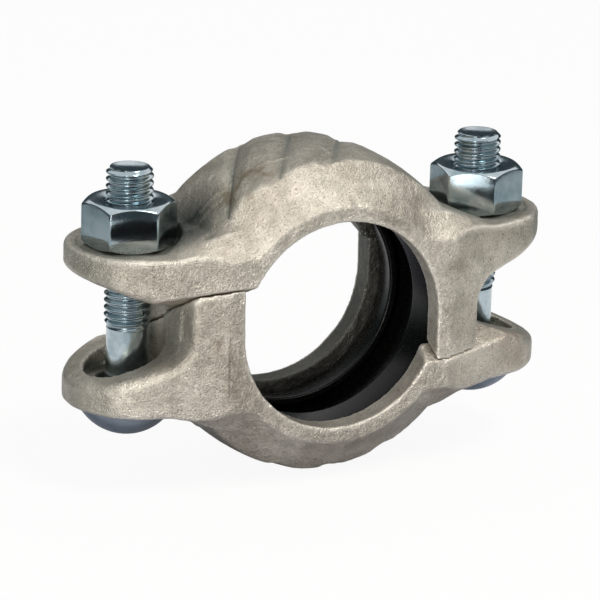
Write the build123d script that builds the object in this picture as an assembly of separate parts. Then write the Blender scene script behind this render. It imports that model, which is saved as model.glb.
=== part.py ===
from build123d import *
from math import acos, atan2, cos, hypot, radians, sin, tan
import os

# Rigid grooved pipe coupling: two identical cast halves, a C-section seal, two bolts and two nuts.
# Millimetres. The origin is the middle of the bore. Y runs along the pipe, X from bolt to bolt,
# and Z up along the bolts, with the nuts on top.

# Keys: the two inner ribs of each half that drop into the grooves of the pipe ends
KEY_RADIUS = 28.4
KEY_WIDTH = 6.7
KEY_HEIGHT = 9.6

# Shell of a half: flat end faces, sloping shoulders and a crown over the seal
SEAL_ROOM_WIDTH = 36.0
SEAL_ROOM_CORNER = 4.0
FACE_LAND = 4.2
FACE_STEP = 0.6
SHELL_WALL = 6.2
CROWN_WIDTH = 30.0
CROWN_RISE = 1.2
CROWN_EDGE = 1.5

# Slanted pads where the halves meet, and the legs that carry them
PAD_ANGLE = 27.7
PAD_GAP = 0.4
LEG_WALL = 4.3

# Lugs: the ears that the bolts clamp
SEAT_HEIGHT = 21.2
SEAT_SINK = 0.6
LUG_RADIUS = 20.0
LUG_DEPTH = 12.5
LUG_TAPER = 19.0
LUG_ARMPIT = 8.0
LUG_TOP_EDGE = 1.2
LUG_RIM_EDGE = 2.8
SEAT_WALL = 5.7

# Webs: the flanks that climb from the lugs up to the shell, given at three places from the middle out.
# They rise over the lug's top and stand in from the end faces, where they drop a little under it.
WEB_INNER = 20.0
WEB_TO_BOLT = 4.5
WEB_RISE = (8.2, 5.2)
WEB_INSET = (4.2, 5.2, 7.7)
WEB_DROP = (4.3, 2.3)

# Round pocket under each lug, which also hollows the leg beside the bolt
POCKET_RADIUS = 10.7
POCKET_WALL = 3.6
POCKET_EDGE = 1.2
RIM_WALL = 5.4

# Slanted saw-tooth grooves across the crown: a steep side and a floor that climbs back out
GROOVE_PLACES = (-22.0, -6.8, 8.6)
GROOVE_SLANT = 30.0
GROOVE_WIDTH = 3.9
GROOVE_DEPTH = 1.1

# Bolt: half-inch oval-neck track bolt, two and a half inches long, with a rolled coarse thread
BOLT_TO_LEG = 9.2
BOLT_LENGTH = 63.5
THREAD_DIAMETER = 12.7
THREAD_LENGTH = 44.2
THREAD_POINT = 1.1
SHANK_DIAMETER = 11.3
NECK_LENGTH = 15.8
NECK_HEIGHT = 4.6
NECK_EDGE = 0.6
HEAD_DIAMETER = 26.6
HEAD_HEIGHT = 9.8
HEAD_RIM = 1.0

# Nut: half-inch heavy hexagon
NUT_ACROSS_FLATS = 22.2
NUT_HEIGHT = 12.3
NUT_FACE = 21.4
NUT_CHAMFER = 28.0
NUT_MOUTH = 0.7
LEFT_NUT_TURN = -17.1
RIGHT_NUT_TURN = -34.1

# Seal: moulded ring with a lip for each pipe end
SEAL_LIP_RADIUS = 29.6
SEAL_LIP_PLACE = 6.4
SEAL_MOUTH_RADIUS = 31.6
SEAL_LIP_THICKNESS = 2.2
SEAL_WALL = 3.4
SEAL_SIDE_WALL = 3.2
SEAL_CORNER = 1.7
SEAL_LIP_ROUND = 0.7

# Clearances
SEAL_CLEARANCE = 0.3
THREAD_CLEARANCE = 0.06
NECK_CLEARANCE = 0.5
HEAD_CLEARANCE = 0.7

# Places that follow from the sizes above
half_width = SEAL_ROOM_WIDTH / 2 + KEY_WIDTH
seal_room_radius = KEY_RADIUS + KEY_HEIGHT
face_radius = KEY_RADIUS + FACE_LAND
crown_radius = seal_room_radius + SHELL_WALL
leg_x = seal_room_radius + LEG_WALL
bolt_x = leg_x + BOLT_TO_LEG
pocket_x = seal_room_radius + POCKET_WALL + POCKET_RADIUS
reach = pocket_x + POCKET_RADIUS + RIM_WALL
lug_x = reach - LUG_RADIUS
lug_top = SEAT_HEIGHT + SEAT_SINK
web_outer = bolt_x - WEB_TO_BOLT
recess_radius = HEAD_DIAMETER / 2 + HEAD_CLEARANCE
pad_rise = half_width * tan(radians(PAD_ANGLE))
leg_end = -pad_rise - 2 * LUG_ARMPIT


def crown_line(inset):
    """Barrel-shaped top of the shell, sunk by the inset."""
    edge = crown_radius - CROWN_RISE - inset
    half = CROWN_WIDTH / 2
    return ThreePointArc((edge, -half), (crown_radius - inset, 0), (edge, half))


def shell_disc():
    """Solid disc with the shell's outside: end faces, step, straight shoulders and barrel crown."""
    shoulder = face_radius + FACE_STEP
    with BuildSketch() as section:
        with BuildLine():
            crown = crown_line(0)
            Polyline(crown @ 1, (shoulder, half_width - FACE_STEP), (face_radius, half_width), (0, half_width))
            Line((0, half_width), (0, -half_width))
            Polyline((0, -half_width), (face_radius, -half_width), (shoulder, FACE_STEP - half_width), crown @ 0)
        make_face()
        fillet(section.vertices().filter_by(lambda v: abs(v.X - (crown @ 0).X) < 0.01), CROWN_EDGE)
    return revolve(section.sketch, Axis.Y).rotate(Axis.Y, 90)


def lug_plan():
    """Plan of both lugs: straight sides that run from the end faces to a round end at each bolt."""
    to_corner = atan2(-half_width, face_radius - lug_x)
    to_tangent = to_corner + acos(LUG_RADIUS / hypot(face_radius - lug_x, half_width))
    tangent = (lug_x + LUG_RADIUS * cos(to_tangent), LUG_RADIUS * sin(to_tangent))
    with BuildSketch() as plan:
        with BuildLine():
            Polyline((0, -half_width), (face_radius, -half_width), tangent)
            ThreePointArc(tangent, (reach, 0), (tangent[0], -tangent[1]))
            Polyline((tangent[0], -tangent[1]), (face_radius, half_width), (0, half_width))
            Line((0, half_width), (0, -half_width))
        make_face()
        mirror(about=Plane.YZ)
    return plan.sketch


def lug_front():
    """Front view of the lugs: tapered ears, round armpits and the legs down to the pads."""
    under_bolt = lug_top - LUG_DEPTH
    slope = tan(radians(LUG_TAPER))
    armpit = (leg_x, under_bolt + slope * (leg_x - bolt_x))
    with BuildSketch() as view:
        with BuildLine():
            Polyline(
                (0, crown_radius),
                (reach + 1, crown_radius),
                (reach + 1, under_bolt + slope * (reach + 1 - bolt_x)),
                armpit,
                (leg_x, leg_end),
                (0, leg_end),
                close=True,
            )
        make_face()
        fillet(view.vertices().sort_by_distance(armpit)[0], LUG_ARMPIT)
        mirror(about=Plane.YZ)
    return Plane.XZ * view.sketch


def web_section(place, crest, shelf, foot):
    """Section across both webs: a flat crest, a slanted flank to each side and the body below."""
    side = half_width + 1
    with BuildSketch(Plane.YZ.offset(place)) as section:
        with BuildLine():
            Polyline(
                (-side, leg_end - 1),
                (-side, foot),
                (-shelf, crest),
                (shelf, crest),
                (side, foot),
                (side, leg_end - 1),
                close=True,
            )
        make_face()
    return section.sketch


def webs():
    """Body under the webs of both lugs, flat over the bolts and climbing to the shell between them."""
    crests = (lug_top + WEB_RISE[0], lug_top + WEB_RISE[1], lug_top, lug_top)
    places = (WEB_INNER, face_radius, web_outer, reach + 1)
    shelves = [half_width - inset for inset in (*WEB_INSET, WEB_INSET[-1])]
    feet = (lug_top - WEB_DROP[0], lug_top - WEB_DROP[1], lug_top, lug_top)
    sizes = list(zip(places, crests, shelves, feet))
    right = loft([web_section(*size) for size in sizes], ruled=True)
    middle = extrude(web_section(0, crests[0], shelves[0], feet[0]), WEB_INNER)
    body = middle + right
    return body + mirror(body, Plane.YZ)


def rim(faces):
    """Edges round a set of faces, without the ones that only cross them along the pipe."""
    return [
        edge
        for face in faces
        for edge in face.edges()
        if edge.geom_type != GeomType.LINE or abs(edge.tangent_at(0).Y) < 0.999
    ]


def lug_block():
    """Both ears and legs with their cast edges, before the shell is joined on."""
    block = extrude(lug_plan(), crown_radius, both=True)
    block = block & extrude(lug_front(), half_width + 1, both=True)
    unders = [
        face
        for face in block.faces()
        if abs(face.normal_at(face.center()).Y) < 0.01
        and face.normal_at(face.center()).Z < 0.1
        and abs(face.center().X) > leg_x - 1
        and face.center().Z > leg_end + 0.1
    ]
    block = fillet(rim(unders), LUG_RIM_EDGE) & webs()
    tops = [
        edge
        for edge in block.edges()
        if abs(edge.center().Z - lug_top) < LUG_TOP_EDGE
        and abs(edge.center().X) > face_radius - 0.1
        and (abs(edge.center().Y) > LUG_RADIUS or abs(edge.center().X) > web_outer + 0.1)
    ]
    return fillet(tops, LUG_TOP_EDGE)


def tunnel(radius, width):
    """Round over the pipe and straight down beside it, so that a half lifts straight off."""
    with BuildSketch() as arch:
        Circle(radius)
        with Locations((0, leg_end / 2)):
            Rectangle(2 * radius, -leg_end)
    return extrude(Plane.XZ * arch.sketch, width / 2, both=True)


def seal_room():
    """Hollow for the seal, with round corners."""
    room = tunnel(seal_room_radius, SEAL_ROOM_WIDTH)
    ends = room.faces().filter_by(Axis.Y)
    return fillet(ends.edges().filter_by(lambda edge: edge.center().Z > leg_end + 0.1), SEAL_ROOM_CORNER)


def below_split(side):
    """Everything under the slanted joint on one side, side being 1 on the right and -1 on the left."""
    drop = side * half_width * 2 * tan(radians(PAD_ANGLE))
    lift = PAD_GAP / 2 / cos(radians(PAD_ANGLE))
    with BuildSketch() as view:
        with BuildLine():
            Polyline(
                (-2 * half_width, lift - drop),
                (2 * half_width, lift + drop),
                (2 * half_width, -2 * reach),
                (-2 * half_width, -2 * reach),
                close=True,
            )
        make_face()
    return extrude(Plane.YZ * view.sketch, side * 2 * reach)


def bolt_room(side):
    """What one bolt needs: a round recess over the seat, an oval hole and the pocket below."""
    seat = SEAT_HEIGHT
    over = crown_radius - seat
    recess = Pos(side * bolt_x, 0, seat + over / 2) * Cylinder(recess_radius, over)
    with BuildSketch(Plane.XY.offset(seat - SEAT_WALL - 1)) as oval:
        SlotOverall(NECK_LENGTH + 2 * NECK_CLEARANCE, THREAD_DIAMETER + 2 * NECK_CLEARANCE)
    hole = Pos(side * bolt_x, 0, 0) * extrude(oval.sketch, SEAT_WALL + 2)
    roof = seat - SEAT_WALL
    pocket = Cylinder(POCKET_RADIUS, roof - leg_end)
    pocket = fillet(pocket.edges().group_by(Axis.Z)[-1], POCKET_EDGE)
    pocket = Pos(side * pocket_x, 0, (roof + leg_end) / 2) * pocket
    return recess + hole + pocket


def crown_groove(place):
    """One slanted groove across the crown, cut along it by a tooth that follows the barrel."""
    slant = radians(GROOVE_SLANT)
    half = CROWN_WIDTH / 2
    tooth = []
    for share in (-1.2, -0.6, 0, 0.6, 1.2):
        along = half * share
        radius = crown_radius - CROWN_RISE * share**2
        x = place + along * tan(slant)
        top = Vector(x, along, (radius**2 - x**2) ** 0.5)
        out = Vector(top.X, 0, top.Z).normalized()
        run = Vector(sin(slant), cos(slant), 0)
        run = (run - out * run.dot(out)).normalized()
        with BuildSketch(Plane(origin=top, x_dir=out.cross(run), z_dir=run)) as section:
            with BuildLine():
                Polyline(
                    (0.3 * GROOVE_DEPTH, -GROOVE_DEPTH),
                    (GROOVE_WIDTH * 1.5, GROOVE_DEPTH * 0.5),
                    (GROOVE_WIDTH * 1.5, 2 * GROOVE_DEPTH),
                    (-0.6 * GROOVE_DEPTH, 2 * GROOVE_DEPTH),
                    close=True,
                )
            make_face()
        tooth.append(section.sketch)
    return loft(tooth)


def housing_half():
    """One cast half as the upper one lies: over the pipe, with a leg at front right and back left."""
    body = lug_block() + shell_disc()
    body = body - tunnel(KEY_RADIUS, 2 * half_width + 2) - seal_room()
    for side in (1, -1):
        body = body - below_split(side) - bolt_room(side)
    for place in GROOVE_PLACES:
        body = body - crown_groove(place)
    return body


def seal():
    """Moulded ring of C section: a thick back and two lips that lean in to the pipe ends."""
    back = seal_room_radius - SEAL_CLEARANCE
    half = SEAL_ROOM_WIDTH / 2 - SEAL_CLEARANCE
    lip_top = SEAL_LIP_RADIUS + SEAL_LIP_THICKNESS
    chamber_end = half - SEAL_SIDE_WALL
    lean = (SEAL_MOUTH_RADIUS - SEAL_LIP_RADIUS) / (half - SEAL_LIP_PLACE)
    with BuildSketch() as section:
        with BuildLine():
            Polyline(
                (back, 0),
                (back, half),
                (SEAL_MOUTH_RADIUS, half),
                (SEAL_LIP_RADIUS, SEAL_LIP_PLACE),
                (lip_top, SEAL_LIP_PLACE),
                (lip_top + lean * (chamber_end - SEAL_LIP_PLACE), chamber_end),
                (back - SEAL_WALL, chamber_end),
                (back - SEAL_WALL, 0),
                close=True,
            )
        make_face()
        fillet(section.vertices().sort_by_distance((back, half))[0], SEAL_ROOM_CORNER)
        fillet(section.vertices().sort_by_distance((SEAL_MOUTH_RADIUS, half))[0], SEAL_CORNER)
        fillet(section.vertices().sort_by_distance((SEAL_LIP_RADIUS, SEAL_LIP_PLACE))[:2], SEAL_LIP_ROUND)
        mirror(about=Plane.XZ)
    return revolve(section.sketch, Axis.Y)


def bolt():
    """Track bolt: domed head, oval neck, rolled shank and the threaded end, drawn plain."""
    seat = -SEAT_HEIGHT
    tip = seat + BOLT_LENGTH
    head = HEAD_DIAMETER / 2
    shank = SHANK_DIAMETER / 2
    thread = THREAD_DIAMETER / 2
    dome = HEAD_HEIGHT - HEAD_RIM
    dome_radius = (head**2 + dome**2) / (2 * dome)
    part_way = head * 0.7
    part_depth = HEAD_HEIGHT - dome_radius + (dome_radius**2 - part_way**2) ** 0.5
    with BuildSketch() as section:
        with BuildLine():
            top = Polyline(
                (0, tip),
                (thread - THREAD_POINT, tip),
                (thread, tip - THREAD_POINT),
                (thread, tip - THREAD_LENGTH),
                (shank, tip - THREAD_LENGTH - thread + shank),
                (shank, seat),
                (head, seat),
                (head, seat - HEAD_RIM),
            )
            ThreePointArc(top @ 1, (part_way, seat - part_depth), (0, seat - HEAD_HEIGHT))
            Line((0, seat - HEAD_HEIGHT), (0, tip))
        make_face()
    with BuildSketch(Plane.XY.offset(seat)) as oval:
        SlotOverall(NECK_LENGTH, THREAD_DIAMETER)
    neck = extrude(oval.sketch, NECK_HEIGHT)
    neck = chamfer(neck.edges().group_by(Axis.Z)[-1], NECK_EDGE)
    return revolve(Plane.XZ * section.sketch, Axis.Z) + neck


def nut():
    """Heavy hexagon nut, chamfered on both sides, standing on the origin."""
    corner = NUT_ACROSS_FLATS / 3**0.5
    flat = NUT_ACROSS_FLATS / 2
    fall = (corner - NUT_FACE / 2) * tan(radians(NUT_CHAMFER))
    mouth = THREAD_DIAMETER / 2 + THREAD_CLEARANCE
    with BuildSketch() as turned:
        with BuildLine():
            Polyline(
                (mouth, NUT_MOUTH),
                (mouth + NUT_MOUTH, 0),
                (NUT_FACE / 2, 0),
                (corner, fall),
                (corner, NUT_HEIGHT - fall),
                (NUT_FACE / 2, NUT_HEIGHT),
                (mouth + NUT_MOUTH, NUT_HEIGHT),
                (mouth, NUT_HEIGHT - NUT_MOUTH),
                close=True,
            )
        make_face()
    hexagon = extrude(RegularPolygon(flat, 6, major_radius=False), NUT_HEIGHT)
    return hexagon & revolve(Plane.XZ * turned.sketch, Axis.Z)


def build():
    """Every piece in its place, by name."""
    half = housing_half()
    nut_place = SEAT_HEIGHT
    return {
        "upper_housing": half,
        "lower_housing": half.rotate(Axis.X, 180),
        "gasket": seal(),
        "left_bolt": Pos(-bolt_x, 0, 0) * bolt(),
        "right_bolt": Pos(bolt_x, 0, 0) * bolt(),
        "left_nut": Pos(-bolt_x, 0, nut_place) * Rot(0, 0, LEFT_NUT_TURN) * nut(),
        "right_nut": Pos(bolt_x, 0, nut_place) * Rot(0, 0, RIGHT_NUT_TURN) * nut(),
    }


os.makedirs("parts", exist_ok=True)
for name, piece in build().items():
    piece.label = name
    export_step(piece, f"parts/{name}.step")
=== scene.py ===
"""Looks of a rigid grooved pipe coupling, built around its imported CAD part.

The frame is the part's own: X runs along the row of the two bolts, Y along the pipe and away from the
camera, Z up, and the origin is the middle of the bore. Sizes in the classes are millimetres, meshes are
metres. Both housings are the cast halves of the CAD part with a cast skin, and the seal, the bolts and
the nuts are surfaces worked out here.
"""

import logging
import math
from dataclasses import dataclass
from enum import Enum

import bmesh
import bpy
import numpy as np
from mathutils import Matrix, Vector


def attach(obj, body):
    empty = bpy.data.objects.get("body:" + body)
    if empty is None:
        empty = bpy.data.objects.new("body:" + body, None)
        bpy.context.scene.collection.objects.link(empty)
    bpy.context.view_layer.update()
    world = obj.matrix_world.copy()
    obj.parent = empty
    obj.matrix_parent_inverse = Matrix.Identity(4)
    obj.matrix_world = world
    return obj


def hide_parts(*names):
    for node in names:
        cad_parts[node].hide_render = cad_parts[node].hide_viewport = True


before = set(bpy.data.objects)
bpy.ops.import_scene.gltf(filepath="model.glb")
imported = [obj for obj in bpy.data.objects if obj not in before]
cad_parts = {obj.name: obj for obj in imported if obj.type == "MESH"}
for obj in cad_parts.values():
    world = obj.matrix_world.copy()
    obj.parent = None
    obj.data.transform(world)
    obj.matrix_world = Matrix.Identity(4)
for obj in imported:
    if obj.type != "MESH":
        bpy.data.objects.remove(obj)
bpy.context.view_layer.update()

LOG = logging.getLogger("coupling")
MM = 0.001
THREAD_PITCH = 25.4 / 13
THREAD_MAJOR = 6.33
THREAD_MINOR = 5.27
THREAD_SAMPLES = 12
BOLT_PLACE = 51.5
SEAT_HEIGHT = 21.2
CREST_START = {-1: 0.89, 1: 0.57}
GROOVE_PLACES = (-22.0, -6.8, 8.6)
GROOVE_SLANT = math.radians(30)
SPAN = ("From Min", "From Max", "To Min", "To Max")


class Slot(Enum):
    """Names of the material slots."""

    HOUSING = "housing"
    SEAL = "seal"
    FASTENER = "fastener"


# Colours and nodes


def linear(colour: str) -> tuple[float, float, float, float]:
    """Turns an sRGB hex colour into linear light.

    Args:
        colour: six hex digits after a hash sign.

    Returns:
        Red, green, blue and a full alpha.
    """
    parts = [int(colour[place : place + 2], 16) / 255 for place in (1, 3, 5)]
    red, green, blue = (p / 12.92 if p <= 0.04045 else ((p + 0.055) / 1.055) ** 2.4 for p in parts)
    return red, green, blue, 1.0


def add(
    tree: bpy.types.NodeTree,
    kind: str,
    inputs: dict | None = None,
    give: str | int | None = None,
    stops: tuple[tuple[float, str], ...] = (),
    **settings: object,
) -> bpy.types.Node | bpy.types.NodeSocket:
    """Adds a node, sets it up and links it.

    Args:
        tree: the node tree that gets the node.
        kind: the node type's name after its ShaderNode prefix.
        inputs: values or output sockets by input name or number.
        give: the output to hand back, or None for the node itself.
        stops: both places and sRGB colours of a colour ramp.
        settings: properties of the node itself.

    Returns:
        The chosen output, or the new node.
    """
    node = tree.nodes.new("ShaderNode" + kind)
    for name, value in settings.items():
        setattr(node, name, value)
    for number, (place, colour) in enumerate(stops):
        node.color_ramp.elements[number].position = place
        node.color_ramp.elements[number].color = linear(colour)
    for name, value in (inputs or {}).items():
        if isinstance(value, bpy.types.NodeSocket):
            tree.links.new(value, node.inputs[name])
        else:
            node.inputs[name].default_value = value
    return node if give is None else node.outputs[give]


def mask(tree: bpy.types.NodeTree, share: float, *slopes: tuple) -> bpy.types.NodeSocket:
    """Multiplies a share by slopes that rise in a straight line from 0 to 1.

    Args:
        tree: the node tree.
        share: the mask's greatest value.
        slopes: a value, where it gives 0 and where it gives 1, for each slope.

    Returns:
        The mask.
    """
    for value, start, end in slopes:
        slope = add(tree, "MapRange", {"Value": value, "From Min": start, "From Max": end}, "Result")
        share = add(tree, "Math", {0: share, 1: slope}, "Value", operation="MULTIPLY")
    return share


def blank(name: str) -> tuple[bpy.types.Material, bpy.types.NodeTree, bpy.types.Node]:
    """Makes a material.

    Args:
        name: name of the material.

    Returns:
        The material, its node tree and its surface shader.
    """
    material = bpy.data.materials.new(name)
    material.use_nodes = True
    tree = material.node_tree
    return material, tree, tree.nodes["Principled BSDF"]


def per_metre(size: float) -> float:
    """Scale of a pattern whose features are size millimetres across."""
    return 1 / (size * MM)


@dataclass(frozen=True)
class Spot:
    """A spot on the casting, mostly a stain but in one place a patch of painted shade: middle and reach in
    millimetres, colour, strength and how even it is.

    Distances along x, y and z are multiplied by thin, so that a streak or a line is narrower one way.
    """

    middle: tuple[float, float, float]
    reach: float
    colour: str = "#6A5E45"
    share: float = 0.75
    even: float = 0.44
    thin: tuple[float, float, float] = (1.0, 1.0, 1.0)


@dataclass(frozen=True)
class GalvanisedIron:
    """Ductile iron, sand cast and hot-dip galvanised.

    The zinc takes on the sand's grain, so it is matt and sparkles in fine points. Its ridges are lighter,
    partly as wear of the zinc and partly as a painted highlight. Creases, the feet of the crown's grooves
    and the nut and head seats get painted shade, dull and greenish, and the crown's top and the far side of
    the bore get darker painted shade. The sand's grain, really about 0.25 mm, is drawn coarser so that it
    shows. Sizes, and the places of the crown's and the bore's painted shade, are in millimetres.
    """

    name: str
    stains_and_shade: tuple[Spot, ...]
    light: str = "#E0D8CA"
    dull: str = "#BDB4A6"
    # Ridges: partly wear of the zinc, partly a painted highlight.
    wear_and_highlight: str = "#E8E2D6"
    # Painted shade in creases, at the groove feet and round the nut and head seats.
    hollow_shade: str = "#7F8178"
    # Painted shade on the far side of the bore.
    inner: str = "#3B3E38"
    # Painted shade on the crown's top.
    crown_shade: str = "#74756B"
    rust: str = "#8A6A52"
    grain: float = 0.48
    mottle: float = 5.0
    patch: float = 17.0
    pit: float = 2.2
    pit_strength: float = 0.6
    rust_span: tuple[float, float] = (0.76, 0.82)
    spot_core: float = 0.3
    spot_full: float = 0.6
    mottle_share: float = 0.35
    grain_share: float = 0.3
    rust_share: float = 0.55
    # How strong the crown's painted shade is, and where it lies.
    crown_shade_share: float = 0.4
    crown_shade_edge: tuple[float, float] = (16.0, 13.8)
    crown_shade_radius: tuple[float, float] = (41.6, 42.6)
    # How strong the painted shade in the bore is, and where it lies.
    bore_shade_share: float = 0.85
    bore_shade_radius: tuple[float, float] = (36.0, 34.0)
    bore_shade_start: tuple[float, float] = (0.0, 8.0)
    bore_shade_end: tuple[float, float] = (24.2, 23.4)
    metallic: float = 0.8
    rough: tuple[float, float] = (0.26, 0.5)
    grain_height: float = 0.4
    pit_height: float = 0.6

    def material(self) -> bpy.types.Material:
        """Builds the material: base, noise, painted shade and wear with painted highlight stored on the mesh,
        the crown's and the bore's painted shade, and the spots.

        Returns:
            The material.
        """
        material, tree, shader = blank(self.name)
        place = add(tree, "TexCoord", give="Object")
        grain, mottle, patch, pits = (
            add(
                tree,
                "TexNoise",
                {"Vector": place, "Scale": per_metre(size), "Detail": detail, "Roughness": rough},
                "Fac",
            )
            for size, detail, rough in (
                (self.grain, 2.0, 0.6),
                (self.mottle, 5.0, 0.62),
                (self.patch, 4.0, 0.55),
                (self.pit, 1.0, 0.5),
            )
        )
        spots = add(tree, "ValToRGB", {"Fac": mottle}, "Color", ((0.38, "#A3A19C"), (0.6, "#FFFFFF")))
        speck = add(tree, "ValToRGB", {"Fac": grain}, "Color", ((0.38, "#585858"), (0.64, "#FFFFFF")))
        layers = [
            (self.mottle_share, spots, "MULTIPLY"),
            (self.grain_share, speck, "MULTIPLY"),
            # Painted shade in creases, at the groove feet and round the nut and head seats.
            (add(tree, "Attribute", give="Fac", attribute_name="hollow_shade"), linear(self.hollow_shade), "MIX"),
            # Ridges lighter: partly wear of the zinc, partly a painted highlight.
            (add(tree, "Attribute", give="Fac", attribute_name="crest"), linear(self.wear_and_highlight), "MIX"),
            (mask(tree, self.rust_share, (pits, *self.rust_span)), linear(self.rust), "MIX"),
            # Painted shade on the crown and in the bore, then the spots.
            *((share, linear(colour), "MIX") for share, colour in self.places(tree, place, mottle)),
        ]
        colour = add(tree, "ValToRGB", {"Fac": patch}, "Color", ((0.36, self.dull), (0.62, self.light)))
        for share, over, how in layers:
            colour = add(tree, "Mix", {0: share, 6: colour, 7: over}, 2, data_type="RGBA", blend_type=how)
        tree.links.new(colour, shader.inputs["Base Color"])
        shader.inputs["Metallic"].default_value = self.metallic
        span = dict(zip(SPAN, (0.3, 0.7, *self.rough)))
        rough = add(tree, "MapRange", {"Value": grain, **span}, "Result")
        tree.links.new(rough, shader.inputs["Roughness"])
        fine = {"Height": grain, "Strength": 1.0, "Distance": self.grain_height * MM}
        coarse = {"Height": pits, "Strength": self.pit_strength, "Distance": self.pit_height * MM}
        coarse["Normal"] = add(tree, "Bump", fine, "Normal")
        tree.links.new(add(tree, "Bump", coarse, "Normal"), shader.inputs["Normal"])
        return material

    def places(
        self, tree: bpy.types.NodeTree, place: bpy.types.NodeSocket, mottle: bpy.types.NodeSocket
    ) -> list[tuple[bpy.types.NodeSocket, str]]:
        """Masks and colours of the crown's painted shade, the painted shade on the far side of the bore, and
        the spots, one of which is painted shade.

        Args:
            tree: the node tree.
            place: the object's coordinates.
            mottle: the noise that breaks the spots up.

        Returns:
            A mask and an sRGB colour for each, from the lowest up.
        """
        axes = add(tree, "SeparateXYZ", {0: place}).outputs
        across = add(tree, "Math", {0: axes["Y"]}, "Value", operation="ABSOLUTE")
        ring = add(tree, "CombineXYZ", {0: axes["X"], 1: axes["Z"]}, "Vector")
        ring = add(tree, "VectorMath", {0: ring}, "Value", operation="LENGTH")
        edge, high, bore, start, end = (
            (value, limits[0] * MM, limits[1] * MM)
            for value, limits in (
                (across, self.crown_shade_edge),
                (ring, self.crown_shade_radius),
                (ring, self.bore_shade_radius),
                (axes["Y"], self.bore_shade_start),
                (axes["Y"], self.bore_shade_end),
            )
        )
        masks = [
            # Painted shade on the crown's top.
            (mask(tree, self.crown_shade_share, edge, high), self.crown_shade),
            # Painted shade on the far side of the bore.
            (mask(tree, self.bore_shade_share, bore, start, end), self.inner),
        ]
        # Stain spots; one upper spot is painted shade in a recess.
        for spot in self.stains_and_shade:
            middle = tuple(v * MM for v in spot.middle)
            away = add(tree, "VectorMath", {0: place, 1: middle}, "Vector", operation="SUBTRACT")
            away = add(tree, "VectorMath", {0: away, 1: spot.thin}, "Vector", operation="MULTIPLY")
            far = add(tree, "VectorMath", {0: away}, "Value", operation="LENGTH")
            reach = spot.reach * MM
            slopes = (far, reach, reach * self.spot_core), (mottle, spot.even, self.spot_full)
            masks.append((mask(tree, spot.share, *slopes), spot.colour))
        return masks


@dataclass(frozen=True)
class ZincPlate:
    """Rolled steel, bright zinc plated with a blue passivation: a cool mirror, slightly clouded."""

    name: str = "zinc_plated_steel"
    colour: str = "#BAC5CA"
    cloud: str = "#93A5AC"
    cloud_size: float = 7.0
    speck: float = 0.5
    rough: tuple[float, float] = (0.17, 0.09)
    speck_height: float = 0.1
    speck_strength: float = 0.12

    def material(self) -> bpy.types.Material:
        """Builds the material: a clouded mirror with a faint grain.

        Returns:
            The material.
        """
        material, tree, shader = blank(self.name)
        place = add(tree, "TexCoord", give="Object")
        noise = {"Vector": place, "Scale": per_metre(self.cloud_size), "Detail": 4.0, "Roughness": 0.6}
        cloud = add(tree, "TexNoise", noise, "Fac")
        speck = add(tree, "TexNoise", {"Vector": place, "Scale": per_metre(self.speck), "Detail": 2.0}, "Fac")
        colour = add(tree, "ValToRGB", {"Fac": cloud}, "Color", ((0.35, self.cloud), (0.6, self.colour)))
        tree.links.new(colour, shader.inputs["Base Color"])
        shader.inputs["Metallic"].default_value = 1.0
        span = dict(zip(SPAN, (0.35, 0.7, *self.rough)))
        rough = add(tree, "MapRange", {"Value": cloud, **span}, "Result")
        tree.links.new(rough, shader.inputs["Roughness"])
        grain = {"Height": speck, "Strength": self.speck_strength, "Distance": self.speck_height * MM}
        tree.links.new(add(tree, "Bump", grain, "Normal"), shader.inputs["Normal"])
        return material


@dataclass(frozen=True)
class MouldedRubber:
    """EPDM rubber, compression moulded: near black, with a low satin gloss and a little dust."""

    name: str = "moulded_rubber"
    colour: str = "#070707"
    dust: str = "#1D1C19"
    sheen: float = 0.2
    dust_size: float = 1.3
    dust_height: float = 0.1
    dust_strength: float = 0.15
    rough: tuple[float, float] = (0.2, 0.34)

    def material(self) -> bpy.types.Material:
        """Builds the material: satin black with dust in its pores.

        Returns:
            The material.
        """
        material, tree, shader = blank(self.name)
        place = add(tree, "TexCoord", give="Object")
        noise = {"Vector": place, "Scale": per_metre(self.dust_size), "Detail": 6.0, "Roughness": 0.7}
        dust = add(tree, "TexNoise", noise, "Fac")
        colour = add(tree, "ValToRGB", {"Fac": dust}, "Color", ((0.55, self.colour), (0.8, self.dust)))
        tree.links.new(colour, shader.inputs["Base Color"])
        shader.inputs["Specular IOR Level"].default_value = self.sheen
        span = dict(zip(SPAN, (0.3, 0.7, *self.rough)))
        rough = add(tree, "MapRange", {"Value": dust, **span}, "Result")
        tree.links.new(rough, shader.inputs["Roughness"])
        pores = {"Height": dust, "Strength": self.dust_strength, "Distance": self.dust_height * MM}
        tree.links.new(add(tree, "Bump", pores, "Normal"), shader.inputs["Normal"])
        return material


# Mesh building


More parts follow.
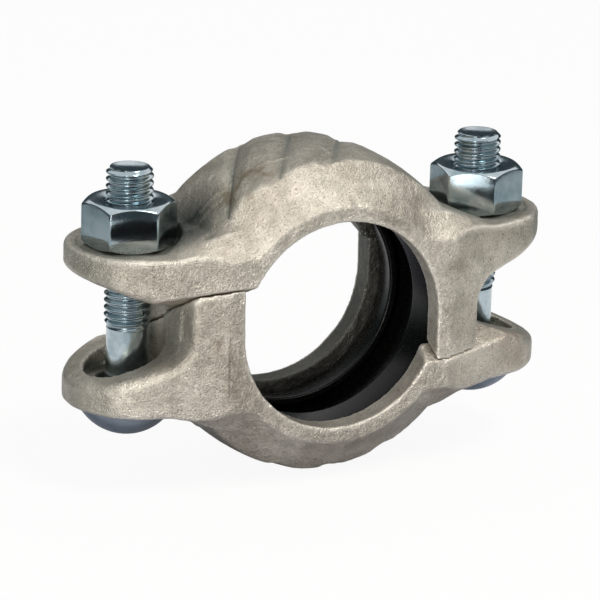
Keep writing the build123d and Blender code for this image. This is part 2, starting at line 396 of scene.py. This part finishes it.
def grid_mesh(
    name: str, points: np.ndarray, round_columns: bool = True, round_rows: bool = False
) -> bpy.types.Object:
    """Makes a closed mesh from a grid of points.

    Args:
        name: name of the new object.
        points: rows by columns by 3, in millimetres; a row that has shrunk to a point closes a pole.
        round_columns: whether the last column joins the first.
        round_rows: whether the last row joins the first.

    Returns:
        The new object, at the origin.
    """
    rows, columns = points.shape[:2]
    row = np.arange(rows if round_rows else rows - 1)[:, None]
    column = np.arange(columns if round_columns else columns - 1)[None, :]
    after, beside = (row + 1) % rows, (column + 1) % columns
    here, there = row * columns, after * columns
    corners = (here + column, here + beside, there + beside, there + column)
    faces = np.stack(np.broadcast_arrays(*corners), axis=-1).reshape(-1, 4)
    mesh = bpy.data.meshes.new(name)
    mesh.from_pydata((points.reshape(-1, 3) * MM).tolist(), [], faces.tolist())
    work = bmesh.new()
    work.from_mesh(mesh)
    bmesh.ops.remove_doubles(work, verts=work.verts, dist=1e-6)
    bmesh.ops.dissolve_degenerate(work, dist=1e-7, edges=work.edges)
    bmesh.ops.recalc_face_normals(work, faces=work.faces)
    work.to_mesh(mesh)
    work.free()
    piece = bpy.data.objects.new(name, mesh)
    bpy.context.scene.collection.objects.link(piece)
    return piece


def shade(piece: bpy.types.Object, crease: float) -> None:
    """Shades a piece smooth and keeps edges sharper than crease degrees."""
    piece.data.shade_smooth()
    piece.data.set_sharp_from_angle(angle=math.radians(crease))


def rounded(corners: list[tuple[float, float, float]], steps: int = 6) -> np.ndarray:
    """Rounds the corners of a closed outline.

    Each corner is cut back along both sides by its radius over the tangent of half its angle, and an
    arc of that radius joins the cuts.

    Args:
        corners: two coordinates and a radius for each corner.
        steps: points on each arc.

    Returns:
        The outline's points.
    """
    outline = []
    count = len(corners)
    for place, (x, y, radius) in enumerate(corners):
        here = np.array([x, y])
        if radius <= 0:
            outline.append(here)
            continue
        before = np.array(corners[place - 1][:2]) - here
        after = np.array(corners[(place + 1) % count][:2]) - here
        before, after = before / np.linalg.norm(before), after / np.linalg.norm(after)
        half = math.acos(float(np.clip(before @ after, -1, 1))) / 2
        middle = here + (before + after) / np.linalg.norm(before + after) * radius / math.sin(half)
        start = here + before * radius / math.tan(half) - middle
        end = here + after * radius / math.tan(half) - middle
        share = np.linspace(0, 1, steps)[:, None]
        span = math.pi - 2 * half
        arc = start * np.sin((1 - share) * span) + end * np.sin(share * span)
        outline.extend(middle + arc / np.linalg.norm(arc, axis=1, keepdims=True) * radius)
    return np.array(outline)


def thread_radius(
    angle: np.ndarray, height: np.ndarray, major: float, minor: float, start: float
) -> np.ndarray:
    """Radius of a right-hand rolled thread.

    The phase is the height over the start, over the pitch, less the angle over a full turn. The radius
    is major over the middle eighth of a pitch, minor over the far quarter, and between them a 30 degree
    flank, half eased at both ends as a rolled thread is.

    Args:
        angle: angle round the bolt in radians.
        height: height in millimetres.
        major: crest radius.
        minor: root radius.
        start: height of a crest at angle 0.

    Returns:
        The radius for each angle and height.
    """
    phase = (height - start) / THREAD_PITCH - angle / math.tau
    away = np.abs(phase - np.round(phase))
    flank = np.clip((0.375 - away) / 0.3125, 0, 1)
    flank = 0.5 * flank + 0.5 * flank * flank * (3 - 2 * flank)
    return minor + (major - minor) * flank


def helical_rows(angle: np.ndarray, low: float, high: float, start: float) -> np.ndarray:
    """Heights of grid rows that lie along a thread's helix.

    Row heights step by a pitch over the samples of a thread and rise by a pitch round the turn, so every
    crest runs along one row; they are held between low and high.

    Args:
        angle: angle of each column in radians.
        low: lowest height.
        high: highest height.
        start: height of a crest at angle 0.

    Returns:
        Rows by columns of heights, from high down to low.
    """
    first = math.floor((low - start) / THREAD_PITCH) - 1
    count = (math.ceil((high - start) / THREAD_PITCH) + 1 - first) * THREAD_SAMPLES
    steps = np.arange(count, -1, -1)[:, None] / THREAD_SAMPLES + first
    return np.clip((steps + angle[None, :] / math.tau) * THREAD_PITCH + start, low, high)


def around(angle: np.ndarray, radius: np.ndarray, height: np.ndarray, x: float) -> np.ndarray:
    """Points at a radius and a height round an upright axis at x."""
    radius, height = np.broadcast_arrays(radius, height)
    return np.stack([x + radius * np.cos(angle), radius * np.sin(angle), height], axis=-1)


class Space:
    """Smooth random heights in space.

    A lattice of seeded random numbers, blended between its points by a cubic ease along each axis.
    """

    def __init__(self, seed: int, size: int = 48) -> None:
        """Draws the lattice from a seed."""
        self.values = np.random.default_rng(seed).uniform(-1, 1, (size, size, size))

    def at(self, points: np.ndarray, wave: float) -> np.ndarray:
        """Heights from -1 to 1.

        Args:
            points: n by 3 points.
            wave: distance between lattice points.

        Returns:
            One height for each point.
        """
        size = self.values.shape[0]
        scaled = points / wave
        cell = np.floor(scaled).astype(int)
        ease = scaled - cell
        ease = ease * ease * (3 - 2 * ease)
        total = np.zeros(len(points))
        for corner in np.ndindex(2, 2, 2):
            weight = np.prod(np.where(np.array(corner), ease, 1 - ease), axis=1)
            index = (cell + np.array(corner)) % size
            total += weight * self.values[index[:, 0], index[:, 1], index[:, 2]]
        return total


class Net:
    """A mesh's points and edges as arrays, in millimetres."""

    def __init__(self, mesh: bpy.types.Mesh) -> None:
        """Reads points and edges.

        Args:
            mesh: the mesh, in metres.
        """
        self.mesh = mesh
        count = len(mesh.vertices)
        flat = np.zeros(count * 3)
        mesh.vertices.foreach_get("co", flat)
        self.points = flat.reshape(-1, 3) / MM
        ends = np.zeros(len(mesh.edges) * 2, dtype=np.int64)
        mesh.edges.foreach_get("vertices", ends)
        ends = ends.reshape(-1, 2)
        self.ends = np.concatenate([ends, ends[:, ::-1]])
        self.degree = np.maximum(np.bincount(self.ends[:, 0], minlength=count), 1)

    def mean(self, values: np.ndarray) -> np.ndarray:
        """Averages each point's neighbours.

        Args:
            values: one number or one row for each point.

        Returns:
            The neighbours' means, in the same form.
        """
        count = len(self.points)
        if values.ndim == 1:
            total = np.bincount(self.ends[:, 0], weights=values[self.ends[:, 1]], minlength=count)
            return total / self.degree
        return np.stack([self.mean(values[:, k]) for k in range(values.shape[1])], axis=1)

    def relax(self, rounds: int, weight: np.ndarray | float = 1.0) -> None:
        """Moves each point half way to its neighbours' mean.

        Args:
            rounds: how often.
            weight: share of each move, for all points or for each.
        """
        share = np.asarray(weight)[:, None] if np.ndim(weight) else weight
        for _ in range(rounds):
            self.points += 0.5 * share * (self.mean(self.points) - self.points)

    def write(self) -> None:
        """Puts the points back into the mesh."""
        self.mesh.vertices.foreach_set("co", (self.points * MM).ravel())
        self.mesh.update()

    def normals(self) -> np.ndarray:
        """Works out the unit normals of the points as they are now.

        Returns:
            A normal for each point.
        """
        self.write()
        flat = np.zeros(len(self.points) * 3)
        self.mesh.vertices.foreach_get("normal", flat)
        return flat.reshape(-1, 3)

    def bend(self, rounds: int) -> np.ndarray:
        """Works out the bend: how far the neighbours' mean stands out of the surface, smoothed.

        Args:
            rounds: how often it is smoothed.

        Returns:
            Millimetres for each point, above 0 in hollows and below 0 on ridges.
        """
        out = np.einsum("ij,ij->i", self.mean(self.points) - self.points, self.normals())
        for _ in range(rounds):
            out = self.mean(out)
        return out


@dataclass
class Housing:
    """One cast half: the CAD half with its casting fillets, its sand-cast skin, wear, and painted shade and
    highlight.
    """

    node: str
    body: str
    up: int
    seed: int
    stains_and_shade: tuple[Spot, ...]
    voxel: float = 0.6
    crown_inner: float = 42.6
    crown_half_width: float = 15.6
    crown_reach: float = 38.0
    seat_radius: float = 14.6
    outside: float = 33.6
    parting: float = 5.0
    swell: float = 0.10
    swell_wave: float = 7.0
    sand: float = 0.05
    sand_wave: float = 1.5
    groove_extra: float = 0.95
    groove_width: float = 4.2
    wall_start: float = -0.5
    wall_width: float = 0.7
    lowest_groove: float = 8.0
    line_height: float = 0.4
    lines: tuple[tuple[float, float, float], ...] = (
        (-37.0, -26.0, -4.6),
        (-37.0, -27.0, -7.4),
        (-19.0, -8.5, -6.0),
    )
    # Painted shade at the foot of each groove's steep side: greatest share, place and width.
    foot_shade_most: float = 0.75
    foot_shade_place: float = 0.3
    foot_shade_width: float = 1.1
    line_width: float = 0.5
    line_fade: float = 1.5
    blend_gain: float = 22.0
    blend_spread: int = 5
    blend_rounds: int = 70
    blend_weight: float = 1.6
    # Ridges lighter: partly wear of the zinc, partly a painted highlight.
    crest_start: float = 0.013
    crest_gain: float = 20.0
    crest_most: float = 0.85
    # Painted shade in creases.
    crease_start: float = 0.006
    crease_gain: float = 26.0
    crease_most: float = 0.8
    # Painted shade round the nut and bolt-head seats on the lugs.
    seat_shade_radius: float = 17.0
    seat_shade_fade: float = 3.0
    seat_shade_height: float = 15.0
    seat_shade_share: float = 0.45

    def build(self) -> bpy.types.Object:
        """Builds the dressed half.

        Returns:
            The new piece, which stands for the CAD node.
        """
        piece = self.remeshed()
        net = Net(piece.data)
        net.relax(2)
        radius = np.hypot(net.points[:, 0], net.points[:, 2])
        crown = (radius > self.crown_inner) & (np.abs(net.points[:, 1]) < self.crown_half_width)
        crown &= np.abs(net.points[:, 0]) < self.crown_reach
        free = ~crown & (self.from_bolt(net) >= self.seat_radius) & (radius > self.outside)
        # The carve also gives painted shade at the groove feet.
        foot_shade = self.carve(net, crown)
        free &= self.up * net.points[:, 2] > self.parting
        reach = np.clip(net.bend(2) * self.blend_gain, 0, 1) * free
        for _ in range(self.blend_spread):
            reach = np.maximum(reach, net.mean(reach)) * free
        net.relax(self.blend_rounds, np.clip(reach * self.blend_weight, 0, 1))
        normals = net.normals()
        rough = Space(self.seed)
        away = rough.at(net.points, self.swell_wave) * self.swell
        away += rough.at(net.points + 31.7, self.sand_wave) * self.sand
        net.points += normals * away[:, None]
        bend = net.bend(3)
        net.write()
        # Ridges lighter: partly wear of the zinc, partly a painted highlight.
        crest = np.clip((-bend - self.crest_start) * self.crest_gain, 0, self.crest_most)
        self.mark(piece.data, "crest", crest)
        # Painted shade round the nut and bolt-head seats on the lugs.
        seat_shade = np.clip((self.seat_shade_radius - self.from_bolt(net)) / self.seat_shade_fade, 0, 1)
        seat_shade *= self.seat_shade_share * (self.up * net.points[:, 2] > self.seat_shade_height)
        # Painted shade: creases, the groove feet and the nut and head seats all darken to one colour.
        creased = np.clip((bend - self.crease_start) * self.crease_gain, 0, self.crease_most)
        self.mark(piece.data, "hollow_shade", np.maximum.reduce([creased, foot_shade, seat_shade]))
        shade(piece, 180)
        look = GalvanisedIron("galvanised_cast_iron_" + self.node, self.stains_and_shade)
        return dress(piece, self.body, self.node, look)

    @staticmethod
    def from_bolt(net: Net) -> np.ndarray:
        """Distance of each point from the nearer bolt's axis."""
        return np.hypot(np.abs(net.points[:, 0]) - BOLT_PLACE, net.points[:, 1])

    def carve(self, net: Net, crown: np.ndarray) -> np.ndarray:
        """Sharpens the crown's saw-tooth grooves and raises the thin cast lines beside them.

        Across a groove the extra depth is full at the steep side and falls in a straight line to
        nothing at the far side. A raised line is a bell curve across the crown. Both act along the
        radius from the bore's axis.

        Args:
            net: the half's points.
            crown: which points lie on the crown.

        Returns:
            How much painted shade lies at the foot of each steep side, from 0 to 1.
        """
        x, y, z = net.points[:, 0], net.points[:, 1] * self.up, net.points[:, 2] * self.up
        radius = np.hypot(x, z)
        sink = np.zeros_like(x)
        foot_shade = np.zeros_like(x)
        for place in GROOVE_PLACES:
            across = (x - place - y * math.tan(GROOVE_SLANT)) * math.cos(GROOVE_SLANT)
            across *= radius / np.maximum(z, self.lowest_groove)
            wall = np.clip((across - self.wall_start) / self.wall_width, 0, 1)
            sink += self.groove_extra * wall * np.clip(1 - across / self.groove_width, 0, 1)
            # Painted shade at the foot of the steep side.
            foot = (across - self.foot_shade_place) / self.foot_shade_width
            foot_shade = np.maximum(foot_shade, np.exp(-(foot**2)) * self.foot_shade_most)
        for low, high, place in self.lines:
            span = np.clip((x - low) / self.line_fade, 0, 1) * np.clip((high - x) / self.line_fade, 0, 1)
            sink -= self.line_height * span * np.exp(-(((y - place) / self.line_width) ** 2))
        sink *= crown
        net.points[:, 0] -= x / radius * sink
        net.points[:, 2] -= self.up * z / radius * sink
        return foot_shade * crown

    def remeshed(self) -> bpy.types.Object:
        """Copies the CAD half, gives it even faces and draws them back onto its surface.

        Returns:
            The new piece, undressed.
        """
        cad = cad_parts[self.node]
        mesh = cad.data.copy()
        work = bmesh.new()
        work.from_mesh(mesh)
        bmesh.ops.remove_doubles(work, verts=work.verts, dist=1e-6)
        work.to_mesh(mesh)
        work.free()
        mould = bpy.data.objects.new(self.node + "_mould", mesh)
        piece = bpy.data.objects.new(self.node + "_cast", mesh)
        for made in (mould, piece):
            bpy.context.scene.collection.objects.link(made)
        even = piece.modifiers.new("even", "REMESH")
        even.mode = "VOXEL"
        even.voxel_size = self.voxel * MM
        wrap = piece.modifiers.new("wrap", "SHRINKWRAP")
        wrap.target = mould
        graph = bpy.context.evaluated_depsgraph_get()
        final = bpy.data.meshes.new_from_object(piece.evaluated_get(graph))
        piece.modifiers.clear()
        piece.data = final
        bpy.data.objects.remove(mould)
        final.materials.clear()
        return piece

    @staticmethod
    def mark(mesh: bpy.types.Mesh, name: str, values: np.ndarray) -> None:
        """Stores one number for each point under a name that the material reads."""
        mesh.attributes.new(name, "FLOAT", "POINT").data.foreach_set("value", values.astype(np.float32))


@dataclass
class Gasket:
    """Moulded ring of C section: a thick back and two lips that lean in to the pipe ends."""

    back: float = 37.7
    half: float = 17.7
    mouth: float = 31.6
    lip: float = 29.6
    lip_place: float = 6.4
    lip_thickness: float = 2.2
    side_wall: float = 3.2
    back_wall: float = 3.4
    back_corner: float = 4.0
    mouth_corner: float = 1.7
    lip_round: float = 0.7
    columns: int = 240

    def build(self) -> bpy.types.Object:
        """Turns the section round the bore's axis.

        A point of the section goes to its radius times the cosine and sine of the turn, across and up.

        Returns:
            The new piece.
        """
        top = self.lip + self.lip_thickness
        end = self.half - self.side_wall
        lean = (self.mouth - self.lip) / (self.half - self.lip_place)
        side = [
            (self.back, self.half, self.back_corner),
            (self.mouth, self.half, self.mouth_corner),
            (self.lip, self.lip_place, self.lip_round),
            (top, self.lip_place, self.lip_round),
            (top + lean * (end - self.lip_place), end, 0.5),
            (self.back - self.back_wall, end, 0.5),
        ]
        section = rounded(side + [(r, -y, c) for r, y, c in reversed(side)])
        turn = np.linspace(0, math.tau, self.columns, endpoint=False)
        radius, along = section[:, :1], section[:, 1:]
        along = np.broadcast_to(along, (len(section), self.columns))
        points = np.stack([radius * np.cos(turn), along, radius * np.sin(turn)], axis=-1)
        piece = grid_mesh("gasket_moulded", points, round_rows=True)
        shade(piece, 50)
        return dress(piece, "lower_half", "gasket", MouldedRubber())


@dataclass
class Bolt:
    """Track bolt: domed head, oval neck, plain shank and a rolled thread."""

    side: int
    tip: float = 42.3
    major: float = THREAD_MAJOR
    minor: float = THREAD_MINOR
    thread_low: float = -1.9
    run_out: float = 2.6
    point: float = 1.1
    shank: float = 5.65
    neck_length: float = 15.8
    neck_width: float = 12.7
    neck_top: float = -16.6
    head: float = 13.3
    head_height: float = 9.8
    head_rim: float = 1.0
    head_edge: float = 0.35
    columns: int = 72
    dome_rings: int = 22

    def build(self) -> bpy.types.Object:
        """Builds the bolt from its tip down to its domed head.

        The rows are rings round the axis. The neck's ring is a stadium: the far side of a circle whose
        middle is off the axis, or the flat where that is nearer. The dome is part of a ball whose radius
        is the head's radius squared plus the dome's height squared, over twice that height.

        Returns:
            The new piece.
        """
        x = self.side * BOLT_PLACE
        turn = np.linspace(0, math.tau, self.columns, endpoint=False)
        flat = np.ones_like(turn)
        start = CREST_START[self.side]
        thread = helical_rows(turn, self.thread_low, self.tip, start)
        radius = thread_radius(turn, thread, self.major, self.minor, start)
        fade = np.clip((thread - self.thread_low) / self.run_out, 0, 1)
        radius = self.shank + (radius - self.shank) * fade
        radius = np.minimum(radius, self.major - self.point + (self.tip - thread))
        end = self.major - self.point
        tips = ((0.0, 0.25), (0.72, 0.22), (0.92, 0.0))
        rows = [around(turn, end * share * flat, (self.tip - sink) * flat, x) for share, sink in tips]
        rows.extend(around(turn, radius, thread, x))
        spare = (self.neck_length - self.neck_width) / 2
        half = self.neck_width / 2
        arc = spare * np.abs(np.cos(turn)) + np.sqrt(half**2 - (spare * np.sin(turn)) ** 2)
        level = half / np.maximum(np.abs(np.sin(turn)), 1e-6)
        neck = np.where(arc * np.abs(np.cos(turn)) < spare, level, arc)
        rows.append(around(turn, self.shank * flat, self.neck_top * flat, x))
        for inset, drop in ((0.6, 0.0), (0.25, 0.1), (0.0, 0.6), (0.0, self.neck_top + SEAT_HEIGHT)):
            rows.append(around(turn, neck - inset, (self.neck_top - drop) * flat, x))
        rim = -SEAT_HEIGHT - self.head_rim
        for inset, drop in ((1.0, 0.0), (0.3, 0.3), (0.0, 1.0)):
            out = (self.head - self.head_edge * inset) * flat
            rows.append(around(turn, out, (-SEAT_HEIGHT - self.head_edge * drop) * flat, x))
        dome = self.head_height - self.head_rim
        ball = (self.head**2 + dome**2) / (2 * dome)
        for share in np.sqrt(np.linspace(1, 0, self.dome_rings)):
            out = self.head * share
            drop = math.sqrt(ball**2 - out**2) - (ball - dome)
            rows.append(around(turn, out * flat, (rim - drop) * flat, x))
        name = "left_bolt" if self.side < 0 else "right_bolt"
        piece = grid_mesh(name + "_plated", np.array(rows))
        shade(piece, 32)
        return dress(piece, "lower_half", name, ZincPlate())


@dataclass
class Nut:
    """Heavy hexagon nut, chamfered on both sides, with its inner thread."""

    side: int
    turn: float
    across_flats: float = 22.2
    height: float = 12.3
    face: float = 10.7
    chamfer: float = 28.0
    corner_round: float = 0.9
    edge_round: float = 0.45
    mouth: float = 0.7
    clearance: float = 0.09
    run_out: float = 1.0

    def outline(self) -> tuple[np.ndarray, np.ndarray]:
        """Hexagon with rounded corners, as angles and radii.

        Within a corner's arc the radius is the corner circle's middle times the cosine of the angle
        from the corner, plus the far side of that circle; elsewhere it is the flat over the cosine.

        Returns:
            The angles and the radii.
        """
        flat = self.across_flats / 2
        middle = (flat - self.corner_round) / math.cos(math.pi / 6)
        corner_x, corner_y = (part(math.pi / 6) * self.corner_round for part in (math.cos, math.sin))
        reach = math.atan2(corner_y, middle + corner_x)
        corner = np.linspace(-reach, reach, 5)
        side = np.linspace(reach, math.pi / 3 - reach, 9)[1:-1]
        one = np.concatenate([corner, side])
        away = np.concatenate([corner, np.minimum(side, math.pi / 3 - side)])
        aside = middle * np.sin(away)
        arc = middle * np.cos(away) + np.sqrt(np.maximum(self.corner_round**2 - aside**2, 0))
        near = np.abs(away) <= reach + 1e-9
        radius = np.where(near, arc, flat / np.cos(math.pi / 6 - np.abs(away)))
        turns = (np.arange(6) * math.pi / 3)[:, None] + one[None, :] + math.radians(self.turn)
        return turns.ravel(), np.tile(radius, 6)

    def build(self) -> bpy.types.Object:
        """Builds the nut: top face, chamfer cone, flats, lower face and the threaded bore.

        The cone falls by the distance outside the face's circle times the tangent of its angle.

        Returns:
            The new piece.
        """
        x = self.side * BOLT_PLACE
        turn, hexagon = self.outline()
        flat = np.ones_like(turn)
        top, bottom = SEAT_HEIGHT + self.height, SEAT_HEIGHT
        fall = (hexagon - self.face) * math.tan(math.radians(self.chamfer))
        bore = THREAD_MAJOR + self.clearance
        cut = np.minimum(self.edge_round, fall * 0.45)
        rows = [around(turn, bore * flat, (top - self.mouth) * flat, x)]
        rows.append(around(turn, (bore + self.mouth - 0.1) * flat, (top - 0.08) * flat, x))
        rows.append(around(turn, (bore + self.mouth + 0.12) * flat, top * flat, x))
        rows.append(around(turn, (self.face - 0.25) * flat, top * flat, x))
        rows.append(around(turn, self.face * flat + 0.02, (top - 0.02) * flat, x))
        for end, way in ((top, 1), (bottom, -1)):
            slope = [
                (hexagon - cut * 1.4, end - way * (fall - cut * 0.75)),
                (hexagon - cut * 0.35, end - way * (fall + cut * 0.1)),
                (hexagon, end - way * (fall + cut * 1.1)),
            ]
            rows.extend(around(turn, out, high, x) for out, high in slope[::way])
        rows.append(around(turn, self.face * flat + 0.02, (bottom + 0.02) * flat, x))
        rows.append(around(turn, (self.face - 0.25) * flat, bottom * flat, x))
        rows.append(around(turn, (bore + self.mouth) * flat, bottom * flat, x))
        start = CREST_START[self.side]
        thread = helical_rows(turn, bottom + self.mouth, top - self.mouth, start)[::-1]
        radius = thread_radius(turn, thread, bore, THREAD_MINOR + self.clearance, start)
        from_end = np.minimum(thread - bottom - self.mouth, top - self.mouth - thread)
        radius = bore + (radius - bore) * np.clip(from_end / self.run_out, 0, 1)
        rows.extend(around(turn, radius, thread, x))
        name = "left_nut" if self.side < 0 else "right_nut"
        piece = grid_mesh(name + "_plated", np.array(rows), round_rows=True)
        shade(piece, 40)
        return dress(piece, name, name, ZincPlate())


MATERIALS: dict[str, bpy.types.Material] = {}


def dress(
    piece: bpy.types.Object,
    body: str,
    node: str,
    look: GalvanisedIron | ZincPlate | MouldedRubber,
) -> bpy.types.Object:
    """Gives a piece its material and ties it to the frame.

    Args:
        piece: the piece.
        body: the CAD body that it rides on.
        node: the CAD node that it stands for.
        look: its finish.

    Returns:
        The same piece.
    """
    if look.name not in MATERIALS:
        MATERIALS[look.name] = look.material()
    piece.data.materials.clear()
    piece.data.materials.append(MATERIALS[look.name])
    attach(piece, body)
    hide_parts(node)
    LOG.info("%s: %d faces on %s", piece.name, len(piece.data.polygons), body)
    return piece


UPPER_STAINS_AND_SHADE = (
    Spot((-26.0, -9.0, 34.5), 8.0),
    Spot((-19.0, -8.0, 39.0), 8.0),
    Spot((-24.0, -15.0, 33.0), 5.0, share=0.55),
    # Painted shade in the recess behind the left nut.
    Spot((-37.0, -4.0, 26.0), 16.0, "#2F342F", 1.0, -0.4),
)
LOWER_STAINS = (
    Spot((54.8, -16.0, -11.6), 10.0, "#8A6248", 0.45),
    Spot((-74.0, -8.0, -9.8), 8.0, "#80664E", 0.4),
    Spot((-32.9, -24.7, -6.2), 13.0, "#5A4F40", 0.6, -0.4, (26.0, 1.0, 1.0)),
    Spot((-36.2, -24.7, 0.2), 7.0, "#6A5A46", 0.7, 0.4, (3.0, 1.0, 1.0)),
)


@dataclass(frozen=True)
class Studio:
    """Pale floor, soft lamps and the photograph's camera."""

    floor_height: float = -44.6
    floor_reach: float = 2500.0
    azimuth: float = 26.24
    elevation: float = 17.34
    roll: float = 1.74
    distance: float = 1183.0
    aside: float = 0.73
    above: float = 0.09
    focal_share: float = 4392 / 600
    room_strength: float = 0.58
    card_lift: float = 0.5
    shade_radius: float = 95.0
    floor_inner: float = 175.0
    floor_outer: float = 1500.0
    wall_radius: float = 1000.0
    wall_top: float = 420.0
    glow_share: float = 0.92

    def camera(self) -> bpy.types.Object:
        """Places the camera at the photograph's viewing angle.

        Returns:
            The camera.
        """
        a, e, r = (math.radians(v) for v in (self.azimuth, self.elevation, self.roll))
        right = Vector((math.cos(a), -math.sin(a), 0))
        ahead = Vector((math.sin(a) * math.cos(e), math.cos(a) * math.cos(e), -math.sin(e)))
        up = right.cross(ahead)
        right, up = right * math.cos(r) + up * math.sin(r), up * math.cos(r) - right * math.sin(r)
        place = -(right * self.aside + up * self.above + ahead * self.distance) * MM
        data = bpy.data.cameras.new("camera")
        data.sensor_width = 36.0
        data.lens = 36.0 * self.focal_share
        data.clip_end = 20.0
        camera = bpy.data.objects.new("camera", data)
        matrix = Matrix((right, up, -ahead)).transposed().to_4x4()
        matrix.translation = place
        camera.matrix_world = matrix
        bpy.context.scene.collection.objects.link(camera)
        bpy.context.scene.camera = camera
        return camera

    def lamp(
        self, name: str, place: tuple[float, float, float], size: float, power: float, colour: str
    ) -> None:
        """Adds a square soft lamp that faces the part.

        Args:
            name: name of the lamp.
            place: where it stands, in metres.
            size: its side in metres.
            power: its power in watts.
            colour: its sRGB colour.
        """
        data = bpy.data.lights.new(name, "AREA")
        data.size = size
        data.energy = power
        data.color = linear(colour)[:3]
        lamp = bpy.data.objects.new(name, data)
        lamp.location = place
        lamp.rotation_euler = (-Vector(place)).to_track_quat("-Z", "Y").to_euler()
        bpy.context.scene.collection.objects.link(lamp)

    def floor(self) -> None:
        """Lays the pale floor, which shows white and keeps the part's shadow faintly."""
        side = np.array([-self.floor_reach, self.floor_reach])
        x, y = np.meshgrid(side, side)
        points = np.stack([x, y, np.full_like(x, self.floor_height)], axis=-1)
        floor = grid_mesh("floor", points, round_columns=False)
        floor.data.flip_normals()
        material, tree, shader = blank("pale_floor")
        shader.inputs["Base Color"].default_value = linear("#F4F4F3")
        shader.inputs["Roughness"].default_value = 0.9
        glow = add(tree, "Emission", {"Color": linear("#FFFFFF"), "Strength": 1.0}, "Emission")
        share = add(tree, "Math", {0: self.seen(tree), 1: self.glow_share}, "Value", operation="MULTIPLY")
        both = add(tree, "MixShader", {0: share, 1: shader.outputs["BSDF"], 2: glow}, "Shader")
        tree.links.new(both, tree.nodes["Material Output"].inputs["Surface"])
        floor.data.materials.append(material)

    def world(self) -> None:
        """Lights the room evenly; it shows white to the camera and in reflections."""
        world = bpy.data.worlds.new("room")
        bpy.context.scene.world = world
        world.use_nodes = True
        tree = world.node_tree
        soft, plain = (
            add(tree, "Background", {"Color": linear("#FFFFFF"), "Strength": strength}, "Background")
            for strength in (self.room_strength, 1.0)
        )
        both = add(tree, "MixShader", {0: self.seen(tree), 1: soft, 2: plain}, "Shader")
        tree.links.new(both, tree.nodes["World Output"].inputs["Surface"])

    @staticmethod
    def seen(tree: bpy.types.NodeTree) -> bpy.types.NodeSocket:
        """Marks the rays that the camera sees at first hand, in a mirror or through glass.

        Args:
            tree: the node tree.

        Returns:
            1 for those rays and 0 for others.
        """
        ray = add(tree, "LightPath").outputs
        seen = ray["Is Camera Ray"]
        for kind in ("Is Glossy Ray", "Is Transmission Ray"):
            seen = add(tree, "Math", {0: seen, 1: ray[kind]}, "Value", operation="MAXIMUM")
        return seen

    def card(
        self, name: str, middle: tuple[float, float, float], width: float, length: float, colour: str
    ) -> None:
        """Lays a dark card where the bright metal mirrors it; the camera doesn't see it.

        Args:
            name: name of the card.
            middle: its middle in millimetres.
            width: its size along x.
            length: its size along y.
            colour: its sRGB colour.
        """
        x, y = np.meshgrid(np.array([-0.5, 0.5]) * width, np.array([-0.5, 0.5]) * length)
        points = np.stack([x, y, np.zeros_like(x)], axis=-1) + np.array(middle)
        self.hide_card(grid_mesh(name, points, round_columns=False), colour)

    @staticmethod
    def hide_card(card: bpy.types.Object, colour: str) -> None:
        """Covers a card with felt and shows it to reflections alone.

        Args:
            card: the card.
            colour: its sRGB colour.
        """
        material, _, shader = blank(card.name + "_felt")
        shader.inputs["Base Color"].default_value = linear(colour)
        shader.inputs["Roughness"].default_value = 1.0
        shader.inputs["Specular IOR Level"].default_value = 0.0
        card.data.materials.append(material)
        card.visible_camera = False
        card.visible_diffuse = False
        card.visible_shadow = False
        card.visible_transmission = False

    def ring(self, name: str, inner: tuple[float, float], outer: tuple[float, float], colour: str) -> None:
        """Lays or stands a round card about the part, seen only in its reflections.

        Args:
            name: name of the card.
            inner: radius and height of its inner or lower edge.
            outer: radius and height of its outer or upper edge.
            colour: its sRGB colour.
        """
        turn = np.linspace(0, math.tau, 48, endpoint=False)
        radius, height = (np.array([[low], [high]]) for low, high in zip(inner, outer))
        self.hide_card(grid_mesh(name, around(turn, radius + 0 * turn, height, 0.0)), colour)

    def build(self) -> None:
        """Sets up camera, floor, room, lamps and cards."""
        self.camera()
        self.floor()
        self.world()
        self.lamp("lamp_key", (0.18, -0.5, 0.85), 0.3, 4.0, "#FFFBF4")
        self.lamp("lamp_left", (-0.75, -0.85, 0.1), 0.25, 6.6, "#FFFDFA")
        self.lamp("lamp_fill", (0.25, -1.05, -0.03), 0.4, 3.0, "#FFFDFA")
        level = self.floor_height + self.card_lift
        self.ring("card_shade", (1.0, level), (self.shade_radius, level), "#A6A8B4")
        self.ring("card_floor", (self.floor_inner, level), (self.floor_outer, level), "#BCC6C9")
        level += self.card_lift
        self.ring("card_wall", (self.wall_radius, level), (self.wall_radius, self.wall_top), "#3A464C")
        self.card("card_front", (-110, -550, level), 300, 800, "#0A0B0B")


def main() -> None:
    """Builds the part and the studio."""
    logging.basicConfig(level=logging.INFO, format="%(message)s")
    bpy.context.scene.view_settings.view_transform = "Standard"
    Housing("upper_housing", "upper_half", 1, 11, UPPER_STAINS_AND_SHADE).build()
    Housing("lower_housing", "lower_half", -1, 23, LOWER_STAINS).build()
    Gasket().build()
    for side, turn in ((-1, -17.1), (1, -34.1)):
        Bolt(side).build()
        Nut(side, turn).build()
    Studio().build()


if __name__ == "__main__":
    main()
